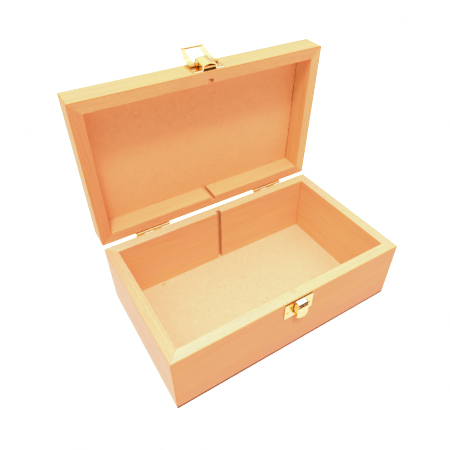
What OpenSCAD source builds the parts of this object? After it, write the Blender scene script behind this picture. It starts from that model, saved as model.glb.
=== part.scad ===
// Hinged wooden keepsake box with a brass draw catch.
// Millimetres. X runs along the length, Y from front to back, Z up.
// The origin is the middle of the underside. The lid is drawn standing open on its hinges.

/* [Box] */
// Outside length of the box, along X
box_w = 200; // [150:1:300]
// Outside depth of the box, along Y
box_d = 120; // [90:1:200]
// Height of the base, from the underside to its rim
base_h = 57; // [40:0.5:120]
// Height of the lid, from its rim to its top
lid_h = 20; // [20:0.5:60]
// Thickness of the solid wood walls
wall_t = 9; // [8:0.25:14]
// Thickness of the floor panel and of the lid panel
panel_t = 3; // [2:0.25:5]
// Width of the rebate that each panel is glued into
rebate_w = 4.5; // [2.5:0.25:5]
// Gap left round a panel in its rebate
panel_fit = 0.1; // [0.05:0.05:0.5]
// Gap between the two rims when the lid is shut
rim_gap = 0.3; // [0.3:0.05:1]
// How far the lid stands open, where the hinges stop it
lid_open = 88; // [80:1:95]

/* [Wood edges] */
// Radius of the long outer edges at the underside and at the top of the lid
foot_r = 2.5; // [0.5:0.25:3.5]
// Radius of the upright outer corners
corner_r = 1; // [0.5:0.25:3]
// Radius of the two edges of each rim
rim_r = 0.4; // [0.2:0.05:1]

/* [Divider grooves] */
// Width of the upright grooves for a divider
groove_w = 4; // [2:0.25:5]
// Depth of the grooves into the long walls
groove_d = 3.6; // [1:0.1:4.5]

/* [Hinges] */
// Length of each hinge, along its pin
hinge_l = 30; // [20:1:40]
// Distance from each end of the box to the middle of its hinge
hinge_inset = 42.7; // [30:0.1:60]
// Height of each hinge leaf on its wall
leaf_h = 12; // [10:0.25:14]
// Thickness of the hinge leaves
leaf_t = 0.9; // [0.6:0.05:1]
// Radius of the outside of the hinge knuckles
knuckle_r = 1.3; // [1.2:0.05:1.6]
// Radius of the hinge pins
hinge_pin_r = 0.6; // [0.5:0.05:0.7]
// Height of the hinge axis above the rim of the base
hinge_rise = 0.4; // [0.2:0.05:1]
// Gap between two neighbouring knuckles
knuckle_gap = 0.3; // [0.2:0.05:0.6]
// Running clearance of the moving knuckles and eyes round their pins
pin_fit = 0.05; // [0.02:0.01:0.1]
// How far each screw is from the middle of its leaf
screw_x = 9.5; // [6:0.25:12]
// Distance of the screws from the far edge of their leaf
screw_edge = 4.8; // [3:0.1:6]
// Radius of the hinge screws in the wood
screw_r = 1; // [0.7:0.05:1.3]
// Length of the hinge screws under their heads
screw_l = 7.5; // [5:0.25:8.5]
// Radius of the screw heads
screw_head_r = 1.9; // [1.6:0.05:2.4]
// Height of the screw heads
screw_head_h = 0.9; // [0.5:0.05:1.2]

/* [Catch plates] */
// Width of both catch plates
plate_w = 25; // [23:0.5:34]
// Height of both catch plates
plate_h = 15; // [14.5:0.25:16]
// Thickness of both catch plates
plate_t = 0.9; // [0.6:0.05:1.1]
// Radius of the plate corners
plate_r = 1.2; // [0.4:0.1:2]
// Distance of the base plate below the rim of the base
base_plate_drop = 0.7; // [0.5:0.1:2]
// Distance of the lid plate from the rim of the lid
lid_plate_rise = 1.4; // [1:0.1:2]
// How far each nail is from the middle of its plate
nail_x = 10; // [9.8:0.05:10.5]
// Distance of the base nails below the top of the base plate
base_nail_drop = 9.2; // [8.8:0.1:12]
// Distance of the lid nails above the lower edge of the lid plate
lid_nail_rise = 3.6; // [2.2:0.1:4.2]
// Radius of the nails in the wood
nail_r = 0.6; // [0.4:0.05:0.8]
// Length of the nails under their heads
nail_l = 7; // [4:0.25:8]
// Radius of the nail heads
nail_head_r = 1.2; // [1:0.05:1.4]
// Height of the nail heads
nail_head_h = 0.5; // [0.3:0.05:0.6]

/* [Catch bail] */
// Distance of the bail's pivot from the rim of the lid
bail_pivot_rise = 9.2; // [8.9:0.1:10]
// Radius of the bail's two stub pins
stub_r = 0.8; // [0.5:0.05:1]
// Thickness of the bail's sheet
bail_t = 1; // [0.6:0.05:1.2]
// Distance from the pivot to the middle of the bail's cross bar, along the lid
bail_reach = 18.1; // [17.8:0.1:18.8]
// Radius of the bow in the bail's arms
bail_bow_r = 28.5; // [26:0.5:40]
// Width of the bail at its cross bar
bail_w = 17.6; // [16.8:0.1:18]
// Width of the bail at its pivot
bail_root_w = 22.4; // [20:0.1:23]
// Radius of the bail's rolled cross bar
bail_bar_r = 0.8; // [0.7:0.05:0.9]
// Gap between the bail's arms and the housing that the stub pins run in
bail_side_gap = 0.3; // [0.2:0.05:0.4]
// Thickness of the two ears that carry the stub pins
ear_t = 1.4; // [1.1:0.05:1.8]
// Width of the housing on the lid plate
housing_w = 11; // [10.4:0.1:11.2]
// Length of the housing, from the edge of the lid plate
housing_l = 11.8; // [11.4:0.1:12.6]
// Height of the housing's mouth above the lid
housing_h = 5.5; // [5.2:0.1:6]
// How steeply the housing rises from its mouth to its back
housing_tilt = 7; // [4:0.5:9]
// Thickness of the housing's sheet
housing_t = 0.8; // [0.5:0.05:0.9]

/* [Catch lever] */
// Width of the lever
lever_w = 9.8; // [9.4:0.1:10.2]
// Length of the lever below its pin
lever_l = 12.2; // [12:0.1:13.5]
// Distance of the lever's pin from the front of the base
lever_axis_h = 3.8; // [3.6:0.1:4.2]
// Thickness of the lever's sheet
lever_t = 0.9; // [0.6:0.05:1]
// Radius of the lever's two eyes
eye_r = 1.8; // [1.7:0.05:2]
// Radius of the lever's pin
lever_pin_r = 0.7; // [0.5:0.05:0.9]
// Radius of the curve that turns the thumb end outward
thumb_bow_r = 18; // [12:0.5:24]
// Gap between the catch's moving pieces and the plates they lie on
rest_gap = 0.3; // [0.3:0.05:0.4]
// Gap between the lever's sides and the knuckle between them
lever_side_gap = 0.3; // [0.2:0.05:0.4]

/* [Hidden] */

eps = 1;        // how far cutting shapes run past the faces they cut
fine = 48;      // facets asked for on round pieces

// Lid and hinge places, with the lid shut
lid_rim_z = base_h + rim_gap;
hinge_z = base_h + hinge_rise;
hinge_off = knuckle_r + knuckle_gap;        // hinge axis to the back face of the walls
hinge_y = box_d / 2 + hinge_off;
hinge_x = box_w / 2 - hinge_inset;
knuckles = 4;
knuckle_pitch = (hinge_l + knuckle_gap) / knuckles;
knuckle_l = knuckle_pitch - knuckle_gap;
base_knuckles = [0, 2];
lid_knuckles = [1, 3];
leaf_root = 0.4 * knuckle_r;                // depth below the axis where a leaf meets its knuckles
screw_drop = hinge_rise + leaf_h - screw_edge;  // hinge axis to the screws

// Catch places: bail on the lid plate
ear_wall = 0.9;                             // thickness of the ears round the stub pins
ear_r = stub_r + ear_wall;
ear_gap = 0.5;                              // between the ears and the plate they turn over
bail_axis_h = plate_t + ear_gap + ear_r;
bail_flat_h = plate_t + rest_gap + bail_t / 2;
bail_flat_l = 1;                            // straight length of the arms before the bow
bail_bow_a = asin((bail_reach - bail_flat_l) / bail_bow_r);
bail_bar_h = bail_flat_h + bail_bow_r * (1 - cos(bail_bow_a)) - bail_axis_h;
bail_chord = norm([bail_reach, bail_bar_h]);
bail_window_w = housing_w + 3 * bail_side_gap;
stub_bore_r = 0.45;                         // the stub pins are hollow
bail_taper = 2.4;                           // how late the bail's arms narrow to its cross bar
stub_end = 0.5;                             // how far the stub pins reach inside the housing
stub_l = bail_side_gap + housing_t + stub_end;
housing_back_r = 2.6;
housing_crown_r = 9;
housing_shoulder_r = 0.8;
mouth_roll_r = 0.9;                         // roll that stiffens the housing's mouth
mouth_roll_y = 1.4;                         // axis of the roll, in from the mouth
mouth_roll_h = 2.1;                         // axis of the roll above the lid

// Where the cross bar lies when the lid is shut and the bail is down
bar_play = 0.2;
bar_half_h = bail_bar_r + bar_play;
bar_h = plate_t + rest_gap + bar_half_h;
bar_drop = sqrt(pow(bail_chord, 2) - pow(bail_axis_h - bar_h, 2)) - bail_pivot_rise - rim_gap;

// Lever on the base plate
lever_axis_drop = base_plate_drop + eye_r;
knuckle_wall = 0.6;                         // thickness of the strap's roll round the lever's pin
strap_drop = 0.05;                          // top of the lever's eyes to the top of the strap
strap_lip = 1;                              // how far the strap reaches out past the lever's pin
slot_half = bail_bar_r + 2 * rest_gap;
slot_middle = bar_drop - lever_axis_drop;
slot_depth = bar_h + bar_half_h + rest_gap - lever_axis_h;
flange_back = -2.3;                         // edge of the flanges, back from the lever's axis
foot_back = rest_gap + plate_t - lever_axis_h;
foot_w = 2;                                 // width of the flanges' feet below the slot
foot_slope = 1.4;                           // how far the foot slopes on down to the face
foot_end = slot_middle + slot_half + foot_w;
flange_end = foot_end + foot_slope;
thumb_l = 4.2;                              // length of the thumb end that turns outward
thumb_start = lever_l - thumb_l;
thumb_corner_r = 3.5;

// ---------- shapes ----------

// Points of an arc about [x, y], from angle a0 to a1
function arc(x, y, r, a0, a1, n = 6) =
    [for (i = [0:n]) [x + r * cos(a0 + (a1 - a0) * i / n), y + r * sin(a0 + (a1 - a0) * i / n)]];

// The same points with their two coordinates changed over
function swapped(points) = [for (p = points) [p[1], p[0]]];

// Rectangle centred on x = 0 that starts at y = 0, with round corners
function round_rect(w, h, r) = concat(
    arc(w / 2 - r, r, r, -90, 0), arc(w / 2 - r, h - r, r, 0, 90),
    arc(r - w / 2, h - r, r, 90, 180), arc(r - w / 2, r, r, 180, 270));

// Cross-section of a wall: x from its outer to its inner face, y from the panel side to the rim
function wall_section(height) = concat(
    arc(foot_r, foot_r, foot_r, 180, 270, 8),
    [[wall_t - rebate_w, 0], [wall_t - rebate_w, panel_t], [wall_t, panel_t]],
    arc(wall_t - rim_r, height - rim_r, rim_r, 0, 90, 4),
    arc(rim_r, height - rim_r, rim_r, 90, 180, 4));

// Plan of a mitred wall, run past its faces everywhere but at the mitres and round corners
function mitre_plan(length) = concat(
    [[eps + wall_t - length / 2, wall_t + eps]],
    arc(corner_r - length / 2, corner_r, corner_r, 225, 270, 4),
    [[corner_r - length / 2, -eps], [length / 2 - corner_r, -eps]],
    arc(length / 2 - corner_r, corner_r, corner_r, 270, 315, 4),
    [[length / 2 - wall_t - eps, wall_t + eps]]);

// Extrudes a side view, drawn as [y, z], along X and centres it
module across(width) {
    translate([-width / 2, 0, 0])
        rotate([90, 0, 90])
            linear_extrude(width) children();
}

// Extrudes a front view, drawn as [x, z], along Y
module along(y0, y1) {
    translate([0, y1, 0])
        rotate([90, 0, 0])
            linear_extrude(y1 - y0) children();
}

// Pin along X, centred
module pin(radius, length) {
    translate([-length / 2, 0, 0])
        rotate([0, 90, 0])
            cylinder(r = radius, h = length, $fn = fine);
}

// Round-headed fastener: shank down from z = 0, domed head up from it
module fastener(shank_r, shank_l, head_r, head_h) {
    dome_r = (pow(head_r, 2) + pow(head_h, 2)) / (2 * head_h);
    dome_a = asin(head_r / dome_r);
    rotate_extrude($fn = fine)
        polygon(concat(
            [[0, -shank_l], [shank_r * 0.4, -shank_l], [shank_r, -shank_l + 2 * shank_r]],
            [[shank_r, 0]],
            arc(0, head_h - dome_r, dome_r, 90 - dome_a, 90, 5)));
}

// ---------- frames ----------

// Which walls run along X, and how far a wall drawn at the front turns to reach its side
function is_long(side) = side == "front" || side == "back";
function side_angle(side) = side == "front" ? 0 : side == "right" ? 90 : side == "back" ? 180 : 270;

// Brings a wall drawn at the front to its side of the box
module on_side(side) {
    rotate([0, 0, side_angle(side)])
        translate([0, -(is_long(side) ? box_d : box_w) / 2, 0]) children();
}

// Swings what is drawn with the lid shut to where the lid stands open
module lid_swing() {
    translate([0, hinge_y, hinge_z])
        rotate([-lid_open, 0, 0])
            translate([0, -hinge_y, -hinge_z]) children();
}

// Front face of the base: x across, y up from the rim, z outward
module on_base_front() {
    translate([0, -box_d / 2, base_h])
        rotate([90, 0, 0]) children();
}

// Front face of the lid: x across, y up from the rim, z outward
module on_lid_front() {
    lid_swing()
        translate([0, -box_d / 2, lid_rim_z])
            rotate([90, 0, 0]) children();
}

// Hinge axis at one side, -1 left or 1 right, with the lid shut
module at_hinge(side) {
    translate([side * hinge_x, hinge_y, hinge_z]) children();
}

module lever_frame() {
    on_base_front()
        translate([0, -lever_axis_drop, lever_axis_h]) children();
}

// ---------- wooden frames and panels ----------

// One mitred wall, outer face at y = 0, panel side down and rim up, with a groove if grooved
module frame_wall(length, height, grooved) {
    difference() {
        intersection() {
            across(length)
                polygon(wall_section(height));
            translate([0, 0, -eps])
                linear_extrude(height + 2 * eps) polygon(mitre_plan(length));
        }
        if (grooved)
            translate([-groove_w / 2, wall_t - groove_d, panel_t])
                cube([groove_w, groove_d + eps, height]);
    }
}

// Wall of the base. Its front wall has no groove.
module base_wall(side) {
    on_side(side)
        frame_wall(is_long(side) ? box_w : box_d, base_h, side == "back");
}

// Lid wall with the lid shut
module lid_wall(side) {
    translate([0, 0, lid_rim_z + lid_h])
        mirror([0, 0, 1])
            on_side(side)
                frame_wall(is_long(side) ? box_w : box_d, lid_h, is_long(side));
}

module panel() {
    inset = wall_t - rebate_w + panel_fit;
    linear_extrude(panel_t)
        square([box_w - 2 * inset, box_d - 2 * inset], center = true);
}

module base_front_wall() {
    color("burlywood")
        difference() {
            base_wall("front");
            base_nails();
        }
}

module base_back_wall() {
    color("burlywood")
        difference() {
            base_wall("back");
            base_screws();
        }
}

module base_left_wall() {
    color("burlywood") base_wall("left");
}

module base_right_wall() {
    color("burlywood") base_wall("right");
}

module base_floor_panel() {
    color("wheat") panel();
}

module lid_front_wall() {
    color("burlywood")
        difference() {
            lid_swing() lid_wall("front");
            lid_nails();
        }
}

module lid_back_wall() {
    color("burlywood")
        lid_swing()
            difference() {
                lid_wall("back");
                lid_screws();
            }
}

module lid_left_wall() {
    color("burlywood") lid_swing() lid_wall("left");
}

module lid_right_wall() {
    color("burlywood") lid_swing() lid_wall("right");
}

module lid_top_panel() {
    color("wheat")
        lid_swing()
            translate([0, 0, lid_rim_z + lid_h - panel_t]) panel();
}

// ---------- hinges ----------

function knuckle_x(i) = (i - (knuckles - 1) / 2) * knuckle_pitch;

// Leaf that hangs below the hinge axis with its back on the wall. own lists its knuckles.
module leaf(own, others, bore_r) {
    difference() {
        union() {
            translate([0, leaf_t - hinge_off, -hinge_rise - leaf_h])
                rotate([90, 0, 0])
                    linear_extrude(leaf_t)
                        polygon(concat(
                            [[hinge_l / 2, hinge_rise + leaf_h - leaf_root]],
                            [[-hinge_l / 2, hinge_rise + leaf_h - leaf_root]],
                            arc(plate_r - hinge_l / 2, plate_r, plate_r, 180, 270),
                            arc(hinge_l / 2 - plate_r, plate_r, plate_r, 270, 360)));
            for (i = own)
                translate([knuckle_x(i), 0, 0]) pin(knuckle_r, knuckle_l);
        }
        for (i = others)
            translate([knuckle_x(i) - knuckle_l / 2 - knuckle_gap, -hinge_off - eps, -knuckle_r - knuckle_gap])
                cube([knuckle_l + 2 * knuckle_gap, leaf_t + 2 * eps, 2 * knuckle_r]);
        pin(bore_r, hinge_l + 2 * eps);
        leaf_screws();
    }
}

// The two screws of one leaf
module leaf_screws() {
    for (side = [-1, 1])
        translate([side * screw_x, leaf_t - hinge_off, -screw_drop])
            rotate([-90, 0, 0])
                fastener(screw_r, screw_l, screw_head_r, screw_head_h);
}

module base_leaf(side) {
    at_hinge(side)
        leaf(base_knuckles, lid_knuckles, hinge_pin_r);
}

module lid_leaf(side) {
    lid_swing()
        at_hinge(side)
            mirror([0, 0, 1]) leaf(lid_knuckles, base_knuckles, hinge_pin_r + pin_fit);
}

module base_screws() {
    for (side = [-1, 1])
        at_hinge(side) leaf_screws();
}

// Lid screws with the lid shut
module lid_screws() {
    for (side = [-1, 1])
        at_hinge(side)
            mirror([0, 0, 1]) leaf_screws();
}

module left_hinge_base_leaf() {
    color("darkgoldenrod") base_leaf(-1);
}

module left_hinge_lid_leaf() {
    color("darkgoldenrod") lid_leaf(-1);
}

module left_hinge_pin() {
    color("goldenrod") at_hinge(-1) pin(hinge_pin_r, hinge_l);
}

module right_hinge_base_leaf() {
    color("darkgoldenrod") base_leaf(1);
}

module right_hinge_lid_leaf() {
    color("darkgoldenrod") lid_leaf(1);
}

module right_hinge_pin() {
    color("goldenrod") at_hinge(1) pin(hinge_pin_r, hinge_l);
}

module hinge_base_screws() {
    color("gold") slotted() base_screws();
}

module hinge_lid_screws() {
    color("gold") lid_swing() slotted() lid_screws();
}

// Cuts a driver slot across the head of every hinge screw, with the lid shut
module slotted() {
    slot_w = screw_head_r * 0.3;
    difference() {
        children();
        for (side = [-1, 1], x = [-1, 1], z = [-1, 1])
            at_hinge(side)
                translate([x * screw_x, leaf_t - hinge_off + screw_head_h, z * screw_drop])
                    rotate([0, 30 * x, 0])
                        cube([slot_w, screw_head_h, 3 * screw_head_r], center = true);
    }
}

// ---------- catch: base half ----------

// The two nails of a catch plate, at height y on it
module plate_nails(y) {
    for (side = [-1, 1])
        translate([side * nail_x, y, plate_t])
            fastener(nail_r, nail_l, nail_head_r, nail_head_h);
}

module base_nails() {
    on_base_front() plate_nails(-base_plate_drop - base_nail_drop);
}

module lid_nails() {
    on_lid_front() plate_nails(lid_plate_rise + lid_nail_rise);
}

// Plate with a strap that rises from its top edge and rolls into the lever's knuckle
module base_catch_plate() {
    strap_w = lever_w - 2 * lever_t - 2 * lever_side_gap;
    color("goldenrod")
        difference() {
            union() {
                on_base_front()
                    translate([0, -base_plate_drop - plate_h, 0])
                        linear_extrude(plate_t) polygon(round_rect(plate_w, plate_h, plate_r));
                lever_frame() {
                    pin(lever_pin_r + knuckle_wall, strap_w);
                    translate([-strap_w / 2, eye_r - strap_drop - plate_t, plate_t / 2 - lever_axis_h])
                        cube([strap_w, plate_t, lever_axis_h - plate_t / 2 + strap_lip]);
                }
            }
            lever_frame() pin(lever_pin_r, plate_w);
            base_nails();
        }
}

module base_catch_nails() {
    color("gold") base_nails();
}

// Outline of the lever's side flanges as [z, y]: round eye, slot for the cross bar, hooked foot
function flange_outline() = concat(
    arc(0, 0, eye_r, -36, 180, 20),
    [[flange_back, -eye_r], [flange_back, slot_half - slot_middle], [slot_depth, slot_half - slot_middle]],
    [[slot_depth, -slot_half - slot_middle], [foot_back, -slot_half - slot_middle]],
    [[foot_back, -foot_end], [eye_r - lever_t / 2, -flange_end]]);

// Side view of the lever's face as [z, y]: flat, then turned outward at the thumb end
function face_section() =
    let (end_a = 183 + asin((lever_l - thumb_start) / thumb_bow_r), middle_z = eye_r + thumb_bow_r)
    concat(
        [[eye_r - lever_t, -eye_r - rest_gap / 2]],
        arc(middle_z, -thumb_start, thumb_bow_r + lever_t, 180, end_a),
        arc(middle_z, -thumb_start, thumb_bow_r, end_a, 180),
        [[eye_r, -eye_r - rest_gap / 2]]);

module catch_lever() {
    color("gold")
        lever_frame()
            difference() {
                union() {
                    intersection() {
                        across(2 * lever_w)
                            polygon(swapped(face_section()));
                        translate([0, -lever_l, -eye_r])
                            linear_extrude(4 * eye_r)
                                polygon(concat(
                                    [[lever_w / 2, lever_l], [-lever_w / 2, lever_l]],
                                    arc(thumb_corner_r - lever_w / 2, thumb_corner_r, thumb_corner_r, 180, 270),
                                    arc(lever_w / 2 - thumb_corner_r, thumb_corner_r, thumb_corner_r, 270, 360)));
                    }
                    for (side = [-1, 1])
                        translate([side * (lever_w - lever_t) / 2, 0, 0])
                            across(lever_t)
                                polygon(swapped(flange_outline()));
                }
                pin(lever_pin_r + pin_fit, 2 * lever_w);
            }
}

module catch_lever_pin() {
    color("goldenrod") lever_frame() pin(lever_pin_r, lever_w);
}

// ---------- catch: lid half ----------

// Side view of the housing as [y, z] from the edge of the lid plate, its walls set in by inset
function housing_side(inset) =
    let (r = housing_back_r, top = housing_h + housing_l * tan(housing_tilt))
    concat(
        [[inset > 0 ? -eps : 0, plate_t / 2], [inset > 0 ? -eps : 0, top + eps]],
        [[housing_l - 2 * r, top + eps], [housing_l - r, top]],
        arc(housing_l - r, top - r, r - inset, 80, 0, 8),
        [[housing_l - inset, plate_t / 2]]);

// Front view of the housing as [x, z]: straight sides and a crowned top
function housing_front_view(inset) =
    let (half = housing_w / 2, r = housing_shoulder_r, inner_r = max(r - inset, 0.1),
         crown_a = asin((half - r) / housing_crown_r),
         shoulder_z = housing_h - housing_crown_r * (1 - cos(crown_a)))
    concat(
        [[inset - half, -housing_h], [half - inset, -housing_h]],
        arc(half - r, shoulder_z - r, inner_r, 0, 80, 4),
        arc(0, housing_h - housing_crown_r, housing_crown_r - inset, 90 - crown_a, 90 + crown_a, 10),
        arc(r - half, shoulder_z - r, inner_r, 100, 180, 4));

module housing_body(inset) {
    intersection() {
        across(2 * housing_w)
            polygon(housing_side(inset));
        translate([0, 0, housing_h])
            rotate([housing_tilt, 0, 0])
                translate([0, 0, -housing_h])
                    along(-plate_h, 2 * plate_h)
                        polygon(housing_front_view(inset));
    }
}

module lid_catch_plate() {
    color("goldenrod")
        difference() {
            on_lid_front()
                difference() {
                    translate([0, lid_plate_rise, 0]) {
                        linear_extrude(plate_t) polygon(round_rect(plate_w, plate_h, plate_r));
                        difference() {
                            housing_body(0);
                            housing_body(housing_t);
                        }
                        translate([0, mouth_roll_y, mouth_roll_h])
                            pin(mouth_roll_r, housing_w - housing_t);
                    }
                    translate([0, bail_pivot_rise, bail_axis_h]) pin(stub_r + pin_fit, plate_w);
                }
            lid_nails();
        }
}

module lid_catch_nails() {
    color("gold") lid_nails();
}

// Side view of the bail's bowed sheet as [y, z] about its pivot, with the bail swung back
function bail_section() =
    let (z = bail_flat_h - bail_axis_h, half = bail_t / 2, end_a = bail_bow_a + 5)
    concat(
        [[0, z - half]],
        arc(bail_flat_l, z + bail_bow_r, bail_bow_r + half, -90, end_a - 90, 12),
        arc(bail_flat_l, z + bail_bow_r, bail_bow_r - half, end_a - 90, -90, 12),
        [[0, z + half]]);

// Edge of the bail's arms at one side as [x, y], from the pivot to the cross bar
function bail_edge(side) = [for (i = [0:8])
    [side * (bail_root_w - (bail_root_w - bail_w) * pow(i / 8, bail_taper)) / 2, bail_reach * i / 8]];

// Plan of the bail's two tapered arms, about its pivot
module bail_plan() {
    difference() {
        polygon(concat(
            [[-bail_root_w / 2, -eps], [bail_root_w / 2, -eps]], bail_edge(1),
            [for (i = [8:-1:0]) bail_edge(-1)[i]]));
        translate([-bail_window_w / 2, -2 * eps])
            square([bail_window_w, bail_reach + 3 * eps]);
    }
}

module catch_bail() {
    ear_x = housing_w / 2 + bail_side_gap;
    color("gold")
        on_lid_front()
            translate([0, bail_pivot_rise, bail_axis_h])
                difference() {
                    union() {
                        intersection() {
                            across(2 * bail_root_w)
                                polygon(bail_section());
                            translate([0, 0, -plate_h])
                                linear_extrude(2 * plate_h) bail_plan();
                        }
                        translate([0, bail_reach, bail_bar_h]) pin(bail_bar_r, bail_w);
                        for (side = [-1, 1]) {
                            translate([side * (ear_x + ear_t / 2), 0, 0]) pin(ear_r, ear_t);
                            translate([side * (ear_x - stub_l / 2), 0, 0]) pin(stub_r, stub_l);
                        }
                    }
                    pin(stub_bore_r, bail_root_w + 2 * eps);
                }
}

base_front_wall();
base_back_wall();
base_left_wall();
base_right_wall();
base_floor_panel();
lid_front_wall();
lid_back_wall();
lid_left_wall();
lid_right_wall();
lid_top_panel();
left_hinge_base_leaf();
left_hinge_lid_leaf();
left_hinge_pin();
right_hinge_base_leaf();
right_hinge_lid_leaf();
right_hinge_pin();
hinge_base_screws();
hinge_lid_screws();
base_catch_plate();
base_catch_nails();
catch_lever();
catch_lever_pin();
lid_catch_plate();
lid_catch_nails();
catch_bail();
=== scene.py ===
import bpy, math, random
from mathutils import Matrix, Vector


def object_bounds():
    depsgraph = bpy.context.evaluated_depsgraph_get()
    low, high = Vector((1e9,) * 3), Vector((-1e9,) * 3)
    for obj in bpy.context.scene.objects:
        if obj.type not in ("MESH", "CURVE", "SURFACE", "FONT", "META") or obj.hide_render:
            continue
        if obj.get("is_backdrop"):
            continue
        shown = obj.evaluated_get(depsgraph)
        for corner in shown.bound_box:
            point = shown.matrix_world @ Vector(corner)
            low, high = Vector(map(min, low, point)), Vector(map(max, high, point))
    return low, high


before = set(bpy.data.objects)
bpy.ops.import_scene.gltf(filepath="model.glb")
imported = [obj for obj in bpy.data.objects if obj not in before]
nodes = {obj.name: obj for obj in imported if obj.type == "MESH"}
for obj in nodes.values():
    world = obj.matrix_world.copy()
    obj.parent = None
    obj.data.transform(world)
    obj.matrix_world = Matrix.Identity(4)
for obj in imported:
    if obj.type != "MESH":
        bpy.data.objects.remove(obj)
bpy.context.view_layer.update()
scene = bpy.context.scene

# Camera: above the box's front left corner, looking down across the open box. The small shift
# frames it.
camera = bpy.data.objects.new("camera", bpy.data.cameras.new("camera"))
camera.data.sensor_width = 36.0
camera.data.lens = 34.222
camera.data.shift_x = -0.0247
camera.data.shift_y = 0.0030
camera.data.clip_start = 0.01
camera.data.clip_end = 20.0
camera.matrix_world = Matrix((
    (0.846175, 0.346902, -0.404532, -0.141736),
    (-0.532874, 0.558902, -0.635353, -0.199182),
    (0.005689, 0.753185, 0.657785, 0.292427),
    (0.0, 0.0, 0.0, 1.0)))
scene.collection.objects.link(camera)
scene.camera = camera

# Key light: one softbox overhead, a little in front and to the left, far enough away to act as
# a sun with soft edges.
sun = bpy.data.objects.new("key", bpy.data.lights.new("key", "SUN"))
sun.data.energy = 2.15
sun.data.angle = math.radians(8)
sun.data.color = (1.0, 0.985, 0.95)
sun_from = Vector((-0.13, -0.36, 0.92)).normalized()
sun.rotation_euler = sun_from.to_track_quat("Z", "Y").to_euler()
scene.collection.objects.link(sun)

# Surroundings: a white studio. The sky is bright behind the box and dim in front of it, so the
# brass has something dark to mirror, the white floor's bounce comes from below, and behind the
# box the camera sees plain white.
WHITE = (1.0, 0.625, 0.5, 1)
WHITE_STRENGTH = 2.4


def node(tree, kind, inputs=None, **settings):
    made = tree.nodes.new(kind)
    for name, value in settings.items():
        setattr(made, name, value)
    for name, value in (inputs or {}).items():
        if hasattr(value, "is_output"):
            tree.links.new(value, made.inputs[name])
        else:
            made.inputs[name].default_value = value
    return made


def ramp(tree, value, low, high, to_low=0.0, to_high=1.0, smooth=True):
    inputs = {"Value": value, "From Min": low, "From Max": high, "To Min": to_low, "To Max": to_high}
    kind = "SMOOTHSTEP" if smooth else "LINEAR"
    return node(tree, "ShaderNodeMapRange", inputs, interpolation_type=kind).outputs[0]


def maths(tree, operation, *values):
    return node(tree, "ShaderNodeMath", dict(enumerate(values)), operation=operation).outputs[0]


def blend(tree, factor, first, second, mode="MIX"):
    inputs = {0: factor, 6: first, 7: second}
    return node(tree, "ShaderNodeMix", inputs, data_type="RGBA", blend_type=mode).outputs[2]


def toward(tree, vector, way):
    return node(tree, "ShaderNodeVectorMath", {0: vector, 1: way}, operation="DOT_PRODUCT").outputs["Value"]


world = bpy.data.worlds.new("studio")
world.use_nodes = True
scene.world = world
wt = world.node_tree
wt.nodes.clear()
path = node(wt, "ShaderNodeLightPath").outputs
ray = node(wt, "ShaderNodeTexCoord").outputs["Generated"]
high = node(wt, "ShaderNodeSeparateXYZ", {"Vector": ray}).outputs["Z"]
dim = ramp(wt, path["Is Glossy Ray"], 0, 1, 0.06, 0.5, smooth=False)
sky = ramp(wt, toward(wt, ray, (0.0, 0.8, 0.6)), -0.12, 0.14, dim, 1.05)
zenith = ramp(wt, high, 0.60, 0.80, 0.0, 1.35)
panel = ramp(wt, toward(wt, ray, (0.405, 0.635, 0.658)), 0.972, 0.988, 0.0, 0.7)
lit = maths(wt, "ADD", maths(wt, "ADD", sky, zenith), panel)
above = ramp(wt, high, -0.04, 0.04, smooth=False)
below = ramp(wt, path["Is Glossy Ray"], 0, 1, 1.08, 2.2, smooth=False)
strength = node(wt, "ShaderNodeMix", {0: above, 2: below, 3: lit}, data_type="FLOAT").outputs[0]
tint = blend(wt, above, (1.0, 0.95, 0.88, 1), (1, 1, 1, 1))
studio = node(wt, "ShaderNodeBackground", {"Color": tint, "Strength": strength}).outputs[0]
plain = node(wt, "ShaderNodeBackground", {"Color": WHITE, "Strength": WHITE_STRENGTH}).outputs[0]
shown = node(wt, "ShaderNodeMixShader", {0: path["Is Camera Ray"], 1: studio, 2: plain}).outputs[0]
node(wt, "ShaderNodeOutputWorld", {"Surface": shown})

# Floor: plain white paper, overexposed. Its bounce is already in the surroundings, so the box
# neither mirrors it nor takes light from it.
FLOOR_HALF = 6
floor_mesh = bpy.data.meshes.new("floor")
corners = [(x * FLOOR_HALF, y * FLOOR_HALF, 0) for x, y in ((-1, -1), (1, -1), (1, 1), (-1, 1))]
floor_mesh.from_pydata(corners, [], [(0, 1, 2, 3)])
floor = bpy.data.objects.new("floor", floor_mesh)
floor.location.z = -0.0001
floor.visible_diffuse = False
floor.visible_glossy = False
scene.collection.objects.link(floor)
floor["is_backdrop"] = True
paper = bpy.data.materials.new("paper")
paper.use_nodes = True
paper_bsdf = paper.node_tree.nodes["Principled BSDF"]
paper_bsdf.inputs["Base Color"].default_value = (0.5, 0.5, 0.5, 1)
paper_bsdf.inputs["Roughness"].default_value = 1.0
paper_bsdf.inputs["Specular IOR Level"].default_value = 0.0
paper_bsdf.inputs["Emission Color"].default_value = WHITE
paper_bsdf.inputs["Emission Strength"].default_value = WHITE_STRENGTH
floor_mesh.materials.append(paper)

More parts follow.
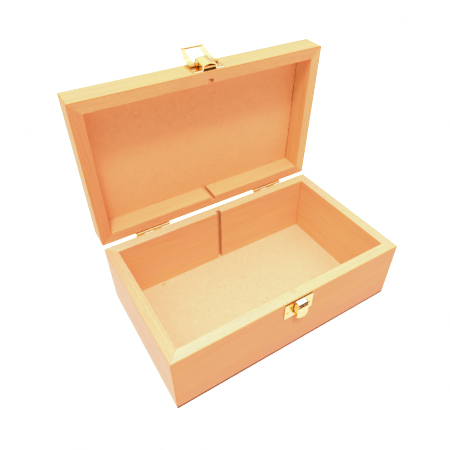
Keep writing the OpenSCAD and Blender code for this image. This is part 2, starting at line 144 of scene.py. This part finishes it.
# Tone: a soft shoulder that holds the reds back before they clip. Each channel's curve ends at
# the light that is clipped to white.
CLIP = 2.4
tones = scene.view_settings
tones.view_transform = "Standard"
tones.look = "None"
tones.use_curve_mapping = True
curves = tones.curve_mapping
curves.use_clip = True
curves.clip_max_x = CLIP
curves.extend = "HORIZONTAL"
shoulders = (
    ((0.46, 0.56), (0.58, 0.71), (0.7, 0.785), (0.85, 0.822), (1.0, 0.84), (1.3, 0.865), (1.7, 0.89)),
    ((0.7, 0.69), (0.9, 0.82), (1.1, 0.89), (1.3, 0.945), (1.5, 1.0)),
    ((0.6, 0.59), (0.9, 0.84), (1.2, 1.0)))
for curve, shoulder in zip(curves.curves, shoulders):
    curve.points[0].location = (0.0, 0.0)
    curve.points[1].location = (CLIP, 1.0)
    for point in shoulder:
        curve.points.new(*point)
curves.update()

# Wooden walls: bare sanded softwood, mitred at the corners. Each wall is cut from its own board,
# so its rings run along it round a pith of their own and its tone differs a little; the tones given
# per wall also carry painted light.
PINE = (0.78, 0.375, 0.170)
LID_TURN = math.radians(88)
HINGE = Vector((0, 0.0616, 0.0574))
HALF_WIDE = 0.100
HALF_DEEP = 0.060
WALL = 0.009
GROOVE_WIDE = 0.004
GROOVE_DEEP = 0.0036
RING = 0.0023

# half the soft edge of a painted band
HAIR = 0.00005


def mapped(tree, vector, **settings):
    values = {"Vector": vector}
    values.update({name.title(): value for name, value in settings.items()})
    return node(tree, "ShaderNodeMapping", values).outputs[0]


def noise(tree, vector, scale, detail=2.0, roughness=0.5):
    vector = mapped(tree, vector, scale=scale)
    inputs = {"Vector": vector, "Scale": 1.0, "Detail": detail, "Roughness": roughness}
    return node(tree, "ShaderNodeTexNoise", inputs).outputs["Fac"]


def apart(tree, vector, absolute=False):
    if absolute:
        vector = node(tree, "ShaderNodeVectorMath", {0: vector}, operation="ABSOLUTE").outputs[0]
    return node(tree, "ShaderNodeSeparateXYZ", {"Vector": vector}).outputs


def rgb(colour, gain=(1, 1, 1)):
    return (colour[0] * gain[0], colour[1] * gain[1], colour[2] * gain[2], 1.0)


def times(tree, factor, colour, gain):
    return blend(tree, factor, colour, blend(tree, 1.0, colour, gain, "MULTIPLY"))


def late_wood(t, board, shifted, pick):
    # rings round a pith that lies outside the board and runs a little askew to it
    drift = noise(t, shifted, (7, 40, 40), 3.0)
    drift = maths(t, "MULTIPLY", maths(t, "SUBTRACT", drift, 0.5), 0.010)
    pith = (0, pick.uniform(0.02, 0.05), pick.choice((-1, 1)) * pick.uniform(0.03, 0.09))
    askew = (0, pick.uniform(-0.035, 0.035), pick.uniform(-0.05, 0.05))
    log = mapped(t, board, location=pith, rotation=askew)
    log = node(t, "ShaderNodeVectorMath", {0: log, 1: (0.0, 1.0, 1.0)}, operation="MULTIPLY").outputs[0]
    radius = node(t, "ShaderNodeVectorMath", {0: log}, operation="LENGTH").outputs["Value"]
    ring = maths(t, "FRACT", maths(t, "DIVIDE", maths(t, "ADD", radius, drift), RING))
    late = maths(t, "MULTIPLY", maths(t, "POWER", ring, 2.5), ramp(t, ring, 1.0, 0.9))
    return maths(t, "MULTIPLY", late, ramp(t, noise(t, shifted, (9, 90, 90), 3.0), 0.35, 0.7, 0.15, 1.0))


def wood(name, along, seed, tint, rim_gain, in_lid, foot):
    mat = bpy.data.materials.new(name)
    mat.use_nodes = True
    t = mat.node_tree
    bsdf = t.nodes["Principled BSDF"]
    coords = node(t, "ShaderNodeTexCoord").outputs
    body = coords["Object"]
    facing = coords["Normal"]
    if in_lid:
        shut = Matrix.Rotation(LID_TURN, 3, "X")
        body = mapped(t, body, location=HINGE - shut @ HINGE, rotation=(LID_TURN, 0, 0))
        facing = mapped(t, facing, rotation=(LID_TURN, 0, 0))
    pick = random.Random(seed)
    board = mapped(t, body, rotation=(0, 0, 0 if along == "X" else -math.pi / 2))
    shifted = mapped(t, board, location=[pick.uniform(-3, 3) for _ in range(3)])
    late = late_wood(t, board, shifted, pick)
    fibre = noise(t, shifted, (40, 2200, 2200), 4.0, 0.62)
    streak = noise(t, shifted, (16, 420, 420), 3.0, 0.6)
    cloud = noise(t, shifted, (11, 30, 45), 3.0)
    place = apart(t, body)
    size = apart(t, body, absolute=True)
    facing = apart(t, facing, absolute=True)

    # broad tone, then the rings, which are clearer on the paler rims
    colour = blend(t, ramp(t, cloud, 0.3, 0.7), rgb(tint, (1.01, 1.03, 0.94)), rgb(tint, (1.0, 0.97, 1.02)))
    rim = ramp(t, facing["Z"], 0.9, 0.97)
    colour = blend(t, maths(t, "MULTIPLY", late, 0.75), colour, rgb(tint, (0.93, 0.80, 0.68)))
    line = maths(t, "MULTIPLY", maths(t, "POWER", late, 3.0), ramp(t, rim, 0, 1, 0.3, 0.9))
    colour = blend(t, line, colour, rgb(tint, (0.90, 0.60, 0.42)))
    # each wall's rim tone, partly the edge grain's own and partly painted light on that rim
    colour = times(t, rim, colour, (*rim_gain, 1.0))
    speckle = ramp(t, noise(t, shifted, (500, 1100, 1100), 2.0), 0.3, 0.7, 0.93, 1.06)
    colour = times(t, rim, colour, speckle)

    # the rims' outer edges and the rounded edges a deeper orange, then the streaks and fibres over
    # everything
    out = maths(t, "SUBTRACT", *((size["Y"], HALF_DEEP) if along == "X" else (size["X"], HALF_WIDE)))
    edge_band = ramp(t, maths(t, "ADD", out, ramp(t, streak, 0.3, 0.7, -0.0003, 0.0003)), -0.0011, -0.0005)
    edge_band = maths(t, "MULTIPLY", maths(t, "MULTIPLY", edge_band, rim), 0.75)
    colour = blend(t, edge_band, colour, rgb(tint, (1.0, 0.76, 0.48)))
    flat = maths(t, "MAXIMUM", maths(t, "MAXIMUM", facing["X"], facing["Y"]), facing["Z"])
    colour = blend(t, ramp(t, flat, 0.985, 0.93), colour, rgb(tint, (0.95, 0.72, 0.45)))
    colour = blend(t, 1.0, colour, ramp(t, streak, 0.25, 0.75, 0.94, 1.045), "MULTIPLY")
    colour = blend(t, 1.0, colour, ramp(t, fibre, 0.3, 0.7, 0.93, 1.055), "MULTIPLY")

    # inside the divider groove, painted browner as shade
    if along == "X":
        mouth = HALF_DEEP - WALL
        inside = ramp(t, size["X"], GROOVE_WIDE / 2 + 3 * HAIR, GROOVE_WIDE / 2 + HAIR)
        inside = maths(t, "MULTIPLY", inside, ramp(
            t, size["Y"], mouth + GROOVE_DEEP + 3 * HAIR, mouth + GROOVE_DEEP + HAIR))
        inside = maths(t, "MULTIPLY", inside, ramp(t, size["Y"], mouth + 2 * HAIR, mouth + 6 * HAIR))
        colour = times(t, inside, colour, (0.80, 0.85, 0.82, 1))

    # the base's rims yellow towards the far right corner, a painted falloff of the light, and its
    # front darkens towards the foot
    if not in_lid:
        rim_falloff = maths(t, "ADD", maths(t, "MULTIPLY", place["X"], 8.0), maths(t, "MULTIPLY", place["Y"], 5.0))
        rim_falloff = blend(t, ramp(t, rim_falloff, -1.0, 1.0, smooth=False), (1.0, 1.06, 1.14, 1), (1.0, 0.90, 0.80, 1))
        colour = times(t, rim, colour, rim_falloff)
    if foot:
        colour = times(t, ramp(t, place["Z"], 0.030, 0.004), colour, (0.98, 0.88, 0.97, 1))
        # a ragged dark line along the foot: a painted contact shadow
        ragged = maths(t, "ADD", place["Z"], ramp(t, streak, 0.3, 0.7, -0.0002, 0.0002))
        colour = blend(t, ramp(t, ragged, 0.0050, 0.0042), colour, rgb(tint, (0.22, 0.13, 0.13)))
    # darker in corners and creases where parts meet: painted shade
    closed = node(t, "ShaderNodeAmbientOcclusion", {"Distance": 0.0014}, samples=6).outputs["AO"]
    colour = blend(t, ramp(t, closed, 0.85, 0.45, 0.0, 0.6), colour, rgb(tint, (0.52, 0.40, 0.30)))

    t.links.new(colour, bsdf.inputs["Base Color"])
    t.links.new(ramp(t, fibre, 0.2, 0.8, 0.42, 0.6), bsdf.inputs["Roughness"])
    grain = maths(t, "ADD", fibre, maths(t, "MULTIPLY", late, 0.5))
    bump = node(t, "ShaderNodeBump", {"Height": grain, "Strength": 0.22, "Distance": 0.0002})
    t.links.new(bump.outputs[0], bsdf.inputs["Normal"])
    bsdf.inputs["Specular IOR Level"].default_value = 0.12
    return mat


# each board's grain direction, its tone and its rim's tone against that; both tones are partly the
# board's own and partly painted light and sheen, set for how the light falls on each wall
for name, along, seed, gain, rim_gain in (
        ("base_front_wall", "X", 3, (1.0, 0.91, 0.88), (1.05, 1.31, 1.64)),
        ("base_back_wall", "X", 5, (1.0, 1.14, 1.17), (1.0, 1.10, 1.34)),
        ("base_left_wall", "Y", 8, (1.24, 1.12, 1.62), (0.84, 0.855, 0.67)),
        ("base_right_wall", "Y", 11, (1.0, 1.33, 1.37), (1.0, 0.84, 1.11)),
        ("lid_front_wall", "X", 14, (1.0, 0.94, 0.93), (1.05, 1.17, 1.14)),
        ("lid_back_wall", "X", 17, (1.0, 1.04, 1.02), (1.0, 1.07, 1.16)),
        ("lid_left_wall", "Y", 21, (1.0, 1.0, 0.98), (0.98, 0.85, 0.82)),
        ("lid_right_wall", "Y", 24, (1.04, 1.36, 1.30), (1.02, 1.01, 1.08))):
    nodes[name].data.materials[0] = wood("wood_" + name, along, seed, rgb(PINE, gain), rim_gain,
                                         name.startswith("lid"), name == "base_front_wall")


# Panels: thin fibreboard, an even tan with fine dark flecks and no grain, glued into the walls
# with a ragged dark line of glue along the lid panel's ends.
FIBRE = (0.80, 0.422, 0.236)
GLUE_EDGE = HALF_WIDE - WALL


def board(name, seed, tint, glue):
    mat = bpy.data.materials.new(name)
    mat.use_nodes = True
    t = mat.node_tree
    bsdf = t.nodes["Principled BSDF"]
    coords = node(t, "ShaderNodeTexCoord").outputs
    shifted = mapped(t, coords["Object"], location=(seed, seed * 0.3, 0))
    fine = noise(t, shifted, (900, 900, 900), 4.0)
    cloud = noise(t, shifted, (26, 26, 26), 4.0)
    felt = noise(t, shifted, (240, 240, 240), 3.0)

    # small round flecks in patches, and rare long chips of bark
    cells = node(t, "ShaderNodeTexVoronoi", {"Vector": shifted, "Scale": 250.0}).outputs["Distance"]
    few = ramp(t, noise(t, shifted, (110, 110, 110)), 0.52, 0.60)
    fleck = maths(t, "MULTIPLY", ramp(t, cells, 0.20, 0.06, 0.0, 0.75), few)
    chips = mapped(t, shifted, rotation=(0, 0, 0.7), scale=(34, 75, 75))
    chips = node(t, "ShaderNodeTexVoronoi", {"Vector": chips, "Scale": 1.0}).outputs["Distance"]
    rare = ramp(t, noise(t, shifted, (24, 24, 24), 1.0), 0.64, 0.68, 0.0, 0.25 if glue else 0.8)
    fleck = maths(t, "MAXIMUM", fleck, maths(t, "MULTIPLY", ramp(t, chips, 0.11, 0.04), rare))

    colour = blend(t, cloud, rgb(tint, (0.98, 0.96, 0.95)), rgb(tint, (1.01, 1.03, 1.04)))
    colour = blend(t, 1.0, colour, ramp(t, felt, 0.3, 0.7, 0.96, 1.03), "MULTIPLY")
    colour = blend(t, 1.0, colour, ramp(t, fine, 0.3, 0.7, 0.94, 1.05), "MULTIPLY")
    colour = blend(t, fleck, colour, rgb(tint, (0.6, 0.38, 0.26)))
    if glue:
        side = maths(t, "ABSOLUTE", apart(t, coords["Object"])["X"])
        side = maths(t, "ADD", side, ramp(t, felt, 0.3, 0.7, -0.0005, 0.0004))
        near = ramp(t, side, GLUE_EDGE - 0.0010, GLUE_EDGE - 0.0004)
        inner = ramp(t, apart(t, coords["Normal"])["Y"], -0.5, -0.9, 0.0, 0.8)
        colour = blend(t, maths(t, "MULTIPLY", near, inner), colour, rgb(tint, (0.35, 0.25, 0.2)))

    t.links.new(colour, bsdf.inputs["Base Color"])
    t.links.new(ramp(t, fine, 0.2, 0.8, 0.5, 0.72), bsdf.inputs["Roughness"])
    bump = node(t, "ShaderNodeBump", {"Height": fine, "Strength": 0.2, "Distance": 0.0002})
    t.links.new(bump.outputs[0], bsdf.inputs["Normal"])
    bsdf.inputs["Specular IOR Level"].default_value = 0.35
    return mat


nodes["base_floor_panel"].data.materials[0] = board("board_floor", 1.7, FIBRE, False)
# the lid panel is tinted paler and warmer than the floor panel: painted light that lifts its shade
nodes["lid_top_panel"].data.materials[0] = board("board_lid", 4.1, rgb(FIBRE, (1.16, 1.15, 0.91)), True)


# Hinges: pressed leaves of thin brass rolled round a pin, held by small countersunk screws, bright
# plated, with the edges worn round, and darker in the corners, partly from old oil and partly as
# painted shade. All the hardware has this finish.
# A mark is another tone where the part is over or under some edges along its own axes.
def over(axis, edge, soft=0.0002):
    return axis, edge - soft / 2, edge + soft / 2


def under(axis, edge, soft=0.0002):
    return axis, edge + soft / 2, edge - soft / 2


def brass(name, tint, rough, marks=()):
    mat = bpy.data.materials.new(name)
    mat.use_nodes = True
    t = mat.node_tree
    bsdf = t.nodes["Principled BSDF"]
    coords = node(t, "ShaderNodeTexCoord").outputs
    cloud = noise(t, coords["Object"], (260, 260, 260), 4.0)
    fine = noise(t, coords["Object"], (3000, 3000, 3000), 3.0)
    colour = blend(t, cloud, rgb(tint, (0.95, 0.93, 0.88)), rgb(tint))
    # faces turned sideways get a yellower gold: a painted reflection of the wood beside them
    side_reflection = ramp(t, maths(t, "ABSOLUTE", apart(t, coords["Normal"])["X"]), 0.5, 0.9)
    colour = times(t, side_reflection, colour, (1.0, 1.38, 0.70, 1.0))
    # darker, then near black, where other parts close this one in: partly old oil, partly painted shade
    closed = node(t, "ShaderNodeAmbientOcclusion", {"Distance": 0.0018}, samples=6).outputs["AO"]
    oil_and_shade = ramp(t, closed, 0.60, 0.30)
    colour = blend(t, oil_and_shade, colour, rgb(tint, (0.66, 0.74, 0.24)))
    colour = blend(t, ramp(t, closed, 0.30, 0.12), colour, rgb((0.20, 0.135, 0.035)))
    place = apart(t, coords["Object"])
    axes = {"X": maths(t, "ABSOLUTE", place["X"]), "Y": place["Y"], "Z": place["Z"]}
    for tone, *limits in marks:
        inside = 1.0
        for axis, start, end in limits:
            inside = maths(t, "MULTIPLY", inside, ramp(t, axes[axis], start, end))
        colour = blend(t, inside, colour, rgb(tone))
    t.links.new(colour, bsdf.inputs["Base Color"])
    shine = ramp(t, cloud, 0.2, 0.8, rough * 0.7, rough * 1.3)
    shine = maths(t, "ADD", shine, maths(t, "MULTIPLY", oil_and_shade, 0.2))
    t.links.new(shine, bsdf.inputs["Roughness"])
    edge = node(t, "ShaderNodeBevel", {"Radius": 0.00018}, samples=4).outputs[0]
    bump = node(t, "ShaderNodeBump", {"Height": fine, "Strength": 0.05, "Distance": 0.00005, "Normal": edge})
    t.links.new(bump.outputs[0], bsdf.inputs["Normal"])
    bsdf.inputs["Metallic"].default_value = 1.0
    return mat


leaf = brass("plated_leaves", (0.80, 0.54, 0.24), 0.2)
turned = brass("plated_pins", (0.66, 0.37, 0.12), 0.18)
for side in ("left", "right"):
    nodes[side + "_hinge_base_leaf"].data.materials[0] = leaf
    nodes[side + "_hinge_lid_leaf"].data.materials[0] = leaf
    nodes[side + "_hinge_pin"].data.materials[0] = turned
nodes["hinge_base_screws"].data.materials[0] = turned
nodes["hinge_lid_screws"].data.materials[0] = turned

# Catch, lower half: a stamped plate nailed to the base, with a strap rolled round the lever's pin,
# and the thumb lever. The roll below the strap's lip, the lip's front, the plate behind the lever
# and its top edge are painted dark as shade.
DEEP_SHADE = (0.055, 0.032, 0.007)
PLATE_FACE = -0.0609
PLATE_TOP = 0.0563
LIP_FRONT = -0.0648
LIP_UNDER = 0.05555
LEVER_FOOT = 0.0453
GAP_TOP = 0.05335
shade_behind_lever = (under("Y", PLATE_FACE + 0.00025, 0.0003), over("Z", LEVER_FOOT, 0.0006),
                under("Z", GAP_TOP, 0.0003))
plate = brass("plated_base_plate", (0.95, 0.475, 0.235), 0.15, (
    # top of the strap, painted paler as a highlight
    ((1.0, 0.76, 0.55), under("Y", PLATE_FACE - 0.0003), over("Z", PLATE_TOP - 0.0003)),
    # roll below the lip, then the lip's front, painted dark as shade
    (DEEP_SHADE, under("Y", PLATE_FACE - 0.0003), under("Z", LIP_UNDER, 0.0003)),
    (DEEP_SHADE, under("Y", LIP_FRONT + 0.0002), under("Z", PLATE_TOP - 0.0002)),
    # plate beside the lever, then behind it, painted dark as shade
    ((0.30, 0.22, 0.07), *shade_behind_lever, under("X", 0.00615, 0.0003)),
    ((0.15, 0.10, 0.03), *shade_behind_lever, under("X", 0.00535, 0.0003)),
    # the plate's top edge, painted dark as shade
    ((0.10, 0.055, 0.014), over("Y", PLATE_FACE - 0.0002), over("Z", PLATE_TOP - 0.00025))))
nodes["base_catch_plate"].data.materials[0] = plate
nodes["catch_lever"].data.materials[0] = brass("plated_lever", (0.95, 0.49, 0.24), 0.15)
nodes["base_catch_nails"].data.materials[0] = turned
nodes["catch_lever_pin"].data.materials[0] = turned

# Catch, upper half: a stamped plate nailed to the lid, with a raised housing, and the bowed bail
# that swings in it. The housing's mouth is painted dark as shade, the plate's front strip beside
# the housing is painted paler as a highlight, and the bail is duller at root and bar, its root as
# a painted reflection of the wood.
MOUTH = 0.0590
MOUTH_TOP = 0.18025
housing = brass("plated_housing", (0.88, 0.50, 0.20), 0.13, (
    # the plate's front strip beside the housing, painted paler as a highlight
    ((1.0, 0.80, 0.62), under("Y", MOUTH, 0.0004), over("X", 0.0053, 0.0006)),
    # the housing's mouth, painted dark as shade
    (DEEP_SHADE, under("Y", MOUTH, 0.0004), under("X", 0.0052, 0.0004), under("Z", MOUTH_TOP, 0.0003))))
ROOT = 0.0710
BAR = 0.08345
bail = brass("plated_bail", (0.95, 0.54, 0.25), 0.13, (
    # the root, duller: a painted reflection of the wood and plate near it
    ((0.90, 0.50, 0.14), under("Y", ROOT, 0.0070)),
    ((0.82, 0.38, 0.12), over("Y", BAR, 0.0005))))
nodes["lid_catch_plate"].data.materials[0] = housing
nodes["lid_catch_nails"].data.materials[0] = turned
nodes["catch_bail"].data.materials[0] = bail

low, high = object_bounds()
